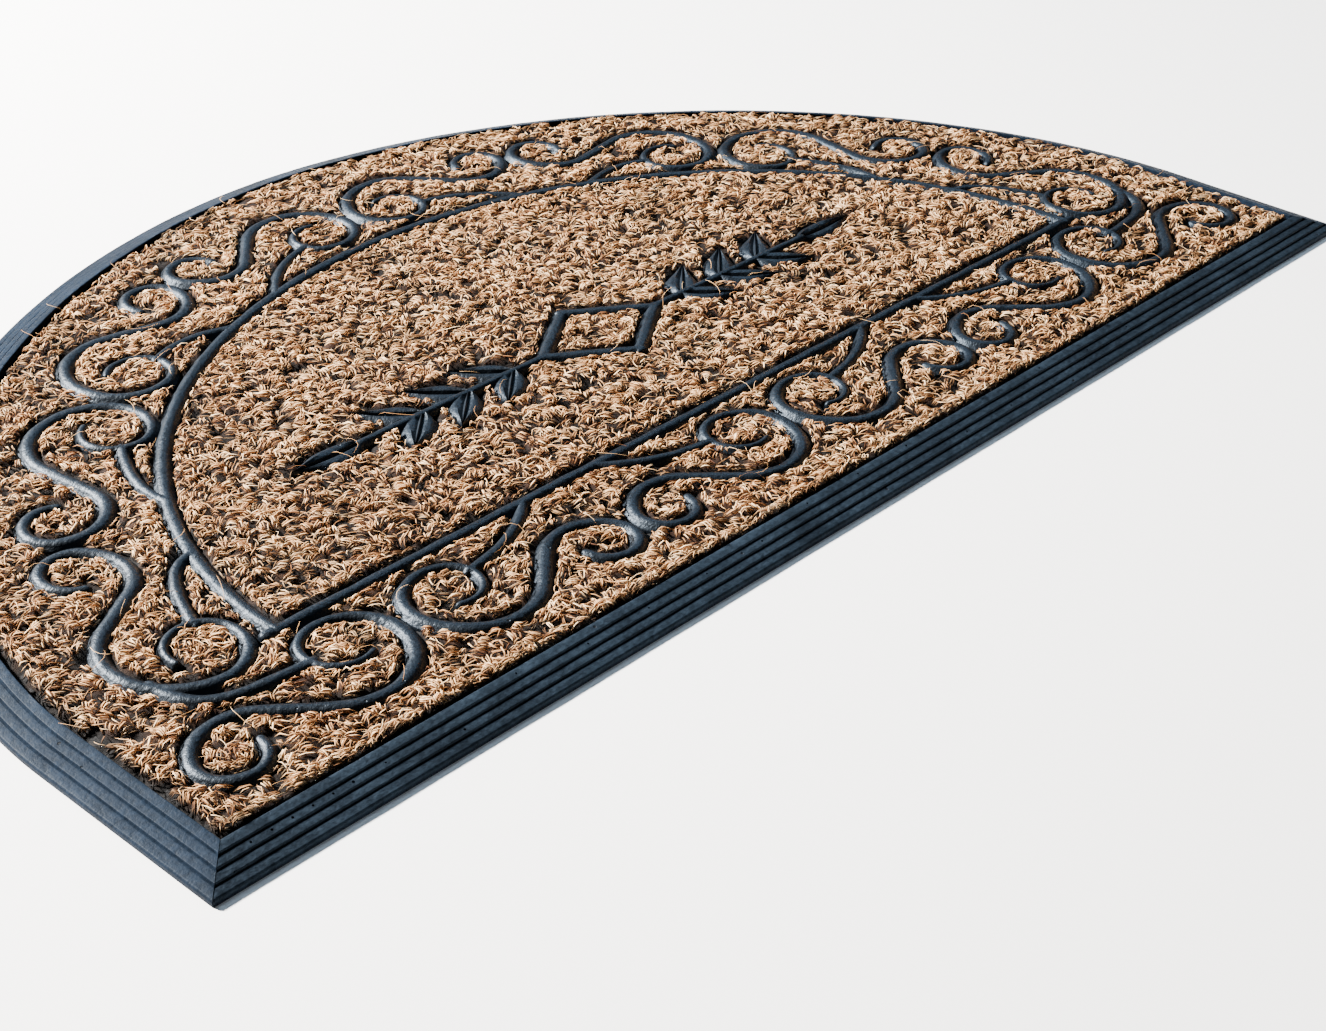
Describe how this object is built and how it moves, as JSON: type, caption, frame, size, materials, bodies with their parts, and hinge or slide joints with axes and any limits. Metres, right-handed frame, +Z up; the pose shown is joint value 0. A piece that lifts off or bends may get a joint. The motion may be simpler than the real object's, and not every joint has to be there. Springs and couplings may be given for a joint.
{
  "type": "half round doormat",
  "caption": "Half round rubber and coir doormat with a stepped rubber border, a coconut fibre field and raised rubber scrollwork around an inner frame.",
  "frame": {"origin": "middle of the bounding box on the underside", "axes": "+X along the straight edge, +Y from the straight edge towards the crown of the curve, +Z up"},
  "size_m": [0.75, 0.45, 0.0105],
  "materials": {
    "backing_rubber": "matt black moulded rubber",
    "border_rubber": "satin blue-black moulded rubber with fine pits and pale rub marks",
    "relief_rubber": "satin blue-black moulded rubber, slightly rough",
    "coir": "matt golden-brown coconut fibre pile in short bent tufts"
  },
  "bodies": {
    "root": {"rubber_backing": "backing_rubber", "border_front": "border_rubber", "border_arch_left": "border_rubber", "border_arch_right": "border_rubber", "coir_field": "coir", "scroll_frame": "relief_rubber", "centre_ornament": "relief_rubber"}
  },
  "joints": []
}
